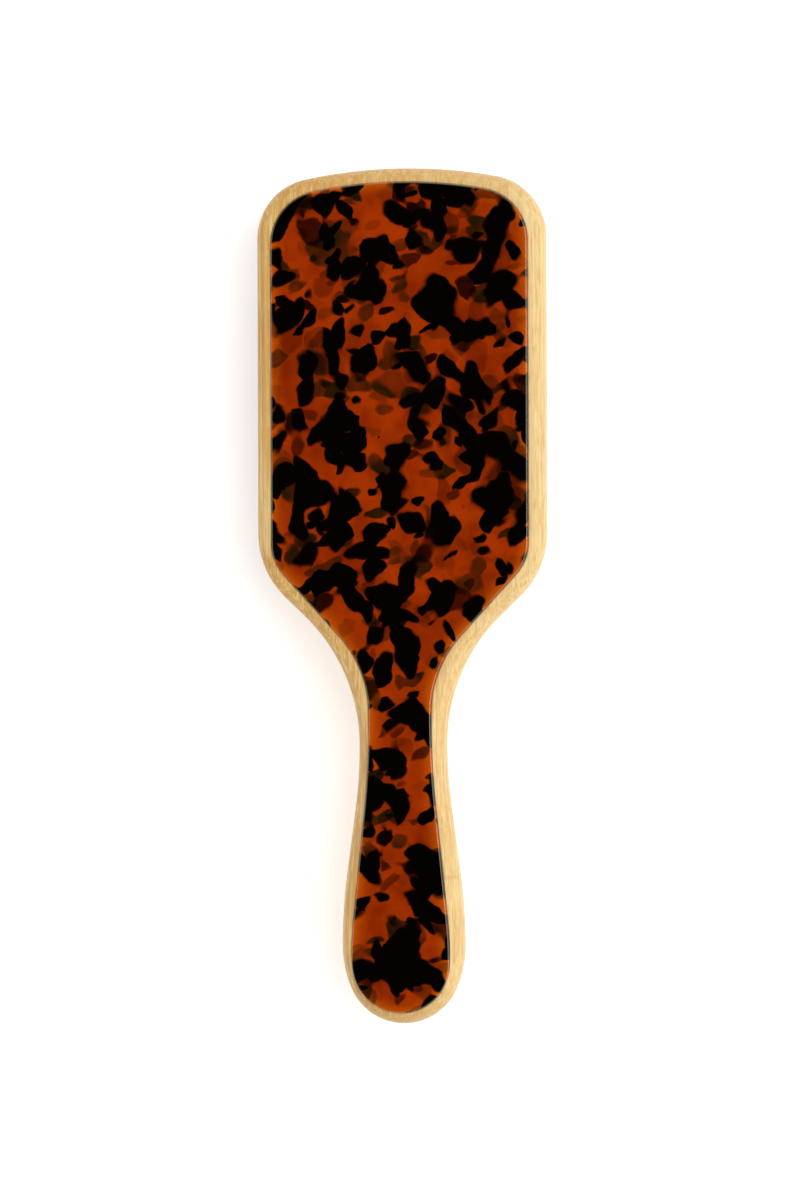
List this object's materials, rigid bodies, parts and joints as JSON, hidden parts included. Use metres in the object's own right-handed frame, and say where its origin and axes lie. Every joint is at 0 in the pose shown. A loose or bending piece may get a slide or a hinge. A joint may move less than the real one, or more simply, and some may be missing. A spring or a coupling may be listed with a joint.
{
  "type": "paddle hairbrush",
  "caption": "Paddle hairbrush: milled bamboo body, inlaid tortoiseshell acetate back plate, and round-tipped bamboo pins in an air-cushioned rubber pad that gives when pressed.",
  "frame": {"origin": "on the surface that the pins stand on, under the middle of the brush's length and width", "axes": "+Y from the handle to the head, +Z out of the back plate, +X to the right as the back is seen with the head up"},
  "size_m": [0.0832, 0.245, 0.0363],
  "materials": {
    "bamboo": "satin lacquer over solid bamboo, grain along the brush",
    "acetate": "polished tortoiseshell acetate, amber with dark brown flakes",
    "film": "cured adhesive film",
    "rubber": "matt moulded rubber",
    "ring": "plain moulded plastic",
    "foam": "closed-cell foam sheet",
    "pin": "turned bamboo, sanded smooth"
  },
  "bodies": {
    "paddle": {"bamboo_paddle": "bamboo", "back_plate": "acetate", "bond_film": "film", "cushion_membrane": "rubber", "flange_ring": "ring", "foam_liner": "foam"},
    "pin_row_1": {"pin_row_1_head": "pin", "pin_row_1_middle": "pin", "pin_row_1_heel": "pin"},
    "pin_row_2": {"pin_row_2_head": "pin", "pin_row_2_middle": "pin", "pin_row_2_heel": "pin"},
    "pin_row_3": {"pin_row_3_head": "pin", "pin_row_3_middle": "pin", "pin_row_3_heel": "pin"},
    "pin_row_4": {"pin_row_4_head": "pin", "pin_row_4_middle": "pin", "pin_row_4_heel": "pin"},
    "pin_row_5": {"pin_row_5_head": "pin", "pin_row_5_middle": "pin", "pin_row_5_heel": "pin"},
    "pin_row_6": {"pin_row_6_head": "pin", "pin_row_6_middle": "pin", "pin_row_6_heel": "pin"},
    "pin_row_7": {"pin_row_7_head": "pin", "pin_row_7_middle": "pin", "pin_row_7_heel": "pin"},
    "pin_row_8": {"pin_row_8_head": "pin", "pin_row_8_middle": "pin", "pin_row_8_heel": "pin"},
    "pin_row_9": {"pin_row_9_head": "pin", "pin_row_9_middle": "pin", "pin_row_9_heel": "pin"}
  },
  "joints": [
    {"name": "cushion_press", "type": "slide", "parent": "paddle", "child": "pin_row_5", "axis": [0, 0, 1], "range_m": [0, 0.003], "stiffness_N_per_m": 150, "springref_m": -0.0023, "deforming": ["cushion_membrane"]},
    {"name": "pin_row_1_press", "type": "slide", "parent": "paddle", "child": "pin_row_1", "axis": [0, 0, 1], "range_m": [0, 0.00235], "stiffness_N_per_m": 150, "springref_m": -0.0023},
    {"name": "pin_row_2_press", "type": "slide", "parent": "paddle", "child": "pin_row_2", "axis": [0, 0, 1], "range_m": [0, 0.00264], "stiffness_N_per_m": 150, "springref_m": -0.0023},
    {"name": "pin_row_3_press", "type": "slide", "parent": "paddle", "child": "pin_row_3", "axis": [0, 0, 1], "range_m": [0, 0.00285], "stiffness_N_per_m": 150, "springref_m": -0.0023},
    {"name": "pin_row_4_press", "type": "slide", "parent": "paddle", "child": "pin_row_4", "axis": [0, 0, 1], "range_m": [0, 0.00297], "stiffness_N_per_m": 150, "springref_m": -0.0023},
    {"name": "pin_row_6_press", "type": "slide", "parent": "paddle", "child": "pin_row_6", "axis": [0, 0, 1], "range_m": [0, 0.00297], "stiffness_N_per_m": 150, "springref_m": -0.0023},
    {"name": "pin_row_7_press", "type": "slide", "parent": "paddle", "child": "pin_row_7", "axis": [0, 0, 1], "range_m": [0, 0.00285], "stiffness_N_per_m": 150, "springref_m": -0.0023},
    {"name": "pin_row_8_press", "type": "slide", "parent": "paddle", "child": "pin_row_8", "axis": [0, 0, 1], "range_m": [0, 0.00264], "stiffness_N_per_m": 150, "springref_m": -0.0023},
    {"name": "pin_row_9_press", "type": "slide", "parent": "paddle", "child": "pin_row_9", "axis": [0, 0, 1], "range_m": [0, 0.00235], "stiffness_N_per_m": 150, "springref_m": -0.0023}
  ],
  "couplings": [
    {"joint": "pin_row_1_press", "follows": "cushion_press", "ratio": 0.7809},
    {"joint": "pin_row_2_press", "follows": "cushion_press", "ratio": 0.8768},
    {"joint": "pin_row_3_press", "follows": "cushion_press", "ratio": 0.9452},
    {"joint": "pin_row_4_press", "follows": "cushion_press", "ratio": 0.9863},
    {"joint": "pin_row_6_press", "follows": "cushion_press", "ratio": 0.9863},
    {"joint": "pin_row_7_press", "follows": "cushion_press", "ratio": 0.9452},
    {"joint": "pin_row_8_press", "follows": "cushion_press", "ratio": 0.8768},
    {"joint": "pin_row_9_press", "follows": "cushion_press", "ratio": 0.7809}
  ]
}
